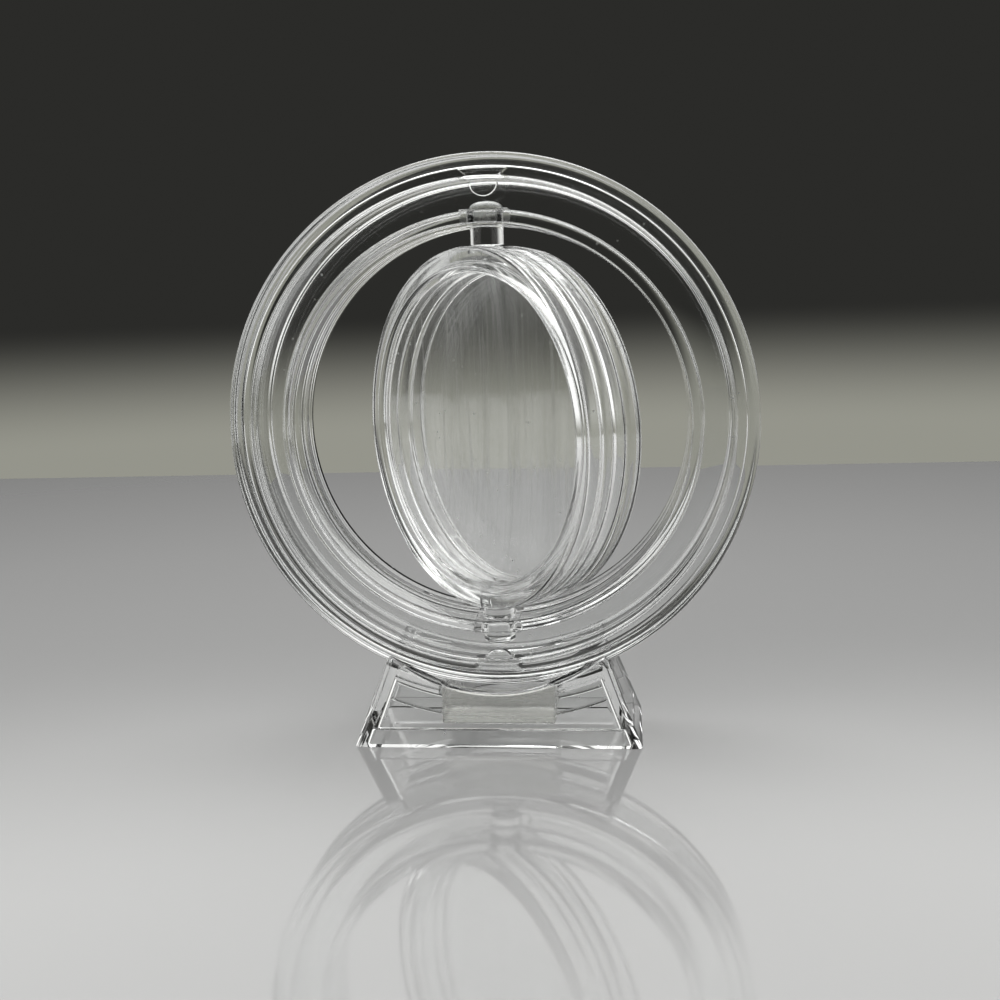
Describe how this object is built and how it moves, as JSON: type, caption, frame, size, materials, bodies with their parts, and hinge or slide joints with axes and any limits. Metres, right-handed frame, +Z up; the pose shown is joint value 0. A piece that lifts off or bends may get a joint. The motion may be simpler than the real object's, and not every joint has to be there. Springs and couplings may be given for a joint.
{
  "type": "coin display stand",
  "caption": "Clear plastic coin stand: an upright hollow ring in a trapezoid foot holds a round coin capsule, two lids pressed into a hoop, that turns on upright pins.",
  "frame": {"origin": "middle of the foot's underside, on the surface the stand rests on", "axes": "+Z up along the capsule's turning axis, -Y towards the front of the ring, +X to the viewer's right"},
  "size_m": [0.07, 0.0406, 0.0777],
  "materials": {
    "base_clear": "clear moulded polystyrene, polished outside, frosted on the inner block",
    "ring_clear": "clear moulded polystyrene, polished",
    "capsule_clear": "clear moulded polystyrene, polished, with faint handling scratches on the window",
    "pin_clear": "clear moulded polystyrene, polished"
  },
  "bodies": {
    "base": {"stand_base": "base_clear"},
    "ring": {"ring_front": "ring_clear", "ring_back": "ring_clear"},
    "capsule": {"capsule_hoop": "capsule_clear", "upper_pivot_pin": "pin_clear", "lower_pivot_pin": "pin_clear"},
    "front_lid": {"capsule_front_lid": "capsule_clear"},
    "back_lid": {"capsule_back_lid": "capsule_clear"}
  },
  "joints": [
    {"name": "ring_lift", "type": "slide", "parent": "base", "child": "ring", "axis": [0, 0, 1], "range_m": [0, 0.03]},
    {"name": "capsule_spin", "type": "hinge", "parent": "ring", "child": "capsule", "pos_m": [0, 0, 0.04205], "axis": [0, 0, 1], "continuous": true},
    {"name": "front_lid_pull", "type": "slide", "parent": "capsule", "child": "front_lid", "axis": [-0.7193, -0.6947, 0], "range_m": [0, 0.004]},
    {"name": "back_lid_pull", "type": "slide", "parent": "capsule", "child": "back_lid", "axis": [0.7193, 0.6947, 0], "range_m": [0, 0.004]}
  ]
}
